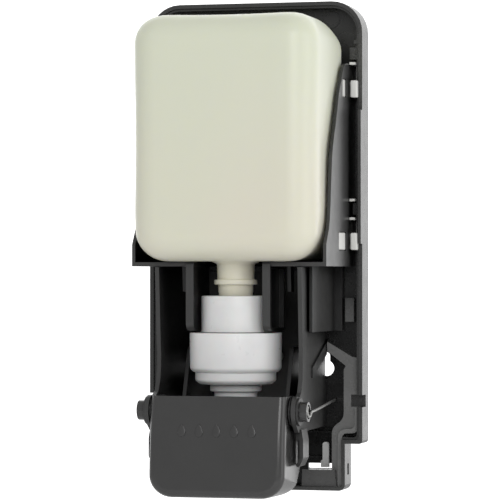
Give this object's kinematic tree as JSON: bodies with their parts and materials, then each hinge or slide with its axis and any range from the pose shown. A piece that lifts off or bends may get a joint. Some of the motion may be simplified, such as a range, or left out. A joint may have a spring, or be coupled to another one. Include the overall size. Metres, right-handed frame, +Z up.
{
  "type": "wall mounted soap dispenser",
  "caption": "Wall mounted lever soap dispenser without its front cover: back plate, cradle, upside-down bottle, foam pump and press lever.",
  "frame": {"origin": "on the wall, at the middle of the back plate's flat back, halfway between its top and bottom edges", "axes": "+Y into the wall, +Z up, +X to the right of someone facing the dispenser"},
  "size_m": [0.1194, 0.0962, 0.264],
  "materials": {
    "charcoal_plastic": "fine moulded satin",
    "lever_plastic": "satin",
    "latch_grey": "satin",
    "white_nylon": "satin",
    "pump_white": "smooth",
    "milky_hdpe": "milky, translucent",
    "hand_soap": "liquid",
    "spring_steel": "bright wire",
    "seal_rubber": "matt",
    "screen_mesh": "fine mesh"
  },
  "bodies": {
    "wall_frame": {"back_plate": "charcoal_plastic", "lever_frame": "charcoal_plastic", "bottle_cradle": "charcoal_plastic", "cradle_clip_left_upper": "white_nylon", "cradle_clip_left_lower": "white_nylon", "cradle_clip_right_upper": "white_nylon", "cradle_clip_right_lower": "white_nylon", "frame_screw_left": "spring_steel", "frame_screw_right": "spring_steel", "return_spring_left": "spring_steel", "return_spring_right": "spring_steel"},
    "lever": {"press_lever": "lever_plastic", "lift_yoke": "lever_plastic", "pivot_pin_left": "lever_plastic", "pivot_pin_right": "lever_plastic"},
    "refill": {"bottle": "milky_hdpe", "soap_fill": "hand_soap", "screw_cap": "pump_white", "neck_gasket": "seal_rubber", "pump_cylinder": "pump_white", "pump_collar": "pump_white", "pump_spring": "spring_steel"},
    "plunger": {"plunger_stem": "pump_white", "piston_seal": "seal_rubber", "air_piston": "pump_white", "pump_nozzle": "pump_white", "foam_screen": "screen_mesh"},
    "inlet_valve": {"inlet_ball": "spring_steel"},
    "latch_left": {"cover_latch_left": "latch_grey"},
    "latch_right": {"cover_latch_right": "latch_grey"}
  },
  "joints": [
    {"name": "lever_hinge", "type": "hinge", "parent": "wall_frame", "child": "lever", "pos_m": [0, -0.0794, -0.0866], "axis": [1, 0, 0], "range_deg": [0, 18], "stiffness_Nm_per_rad": 0.5, "springref_deg": -8.59},
    {"name": "refill_slide", "type": "slide", "parent": "wall_frame", "child": "refill", "axis": [0, -1, 0], "range_m": [0, 0.02]},
    {"name": "plunger_slide", "type": "slide", "parent": "refill", "child": "plunger", "axis": [0, 0, 1], "range_m": [0, 0.0079], "deforming": ["pump_spring"]},
    {"name": "inlet_ball_lift", "type": "slide", "parent": "refill", "child": "inlet_valve", "axis": [0, 0, -1], "range_m": [0, 0.0006], "stiffness_N_per_m": 20, "springref_m": -0.001},
    {"name": "latch_left_flex", "type": "hinge", "parent": "wall_frame", "child": "latch_left", "pos_m": [-0.0374, -0.0056, -0.1195], "axis": [-1, 0, 0], "range_deg": [0, 6], "stiffness_Nm_per_rad": 0.05, "springref_deg": -1.15},
    {"name": "latch_right_flex", "type": "hinge", "parent": "wall_frame", "child": "latch_right", "pos_m": [0.0374, -0.0056, -0.1195], "axis": [-1, 0, 0], "range_deg": [0, 6], "stiffness_Nm_per_rad": 0.05, "springref_deg": -1.15}
  ],
  "couplings": [
    {"joint": "plunger_slide", "follows": "lever_hinge", "m_per_rad": 0.0248}
  ]
}
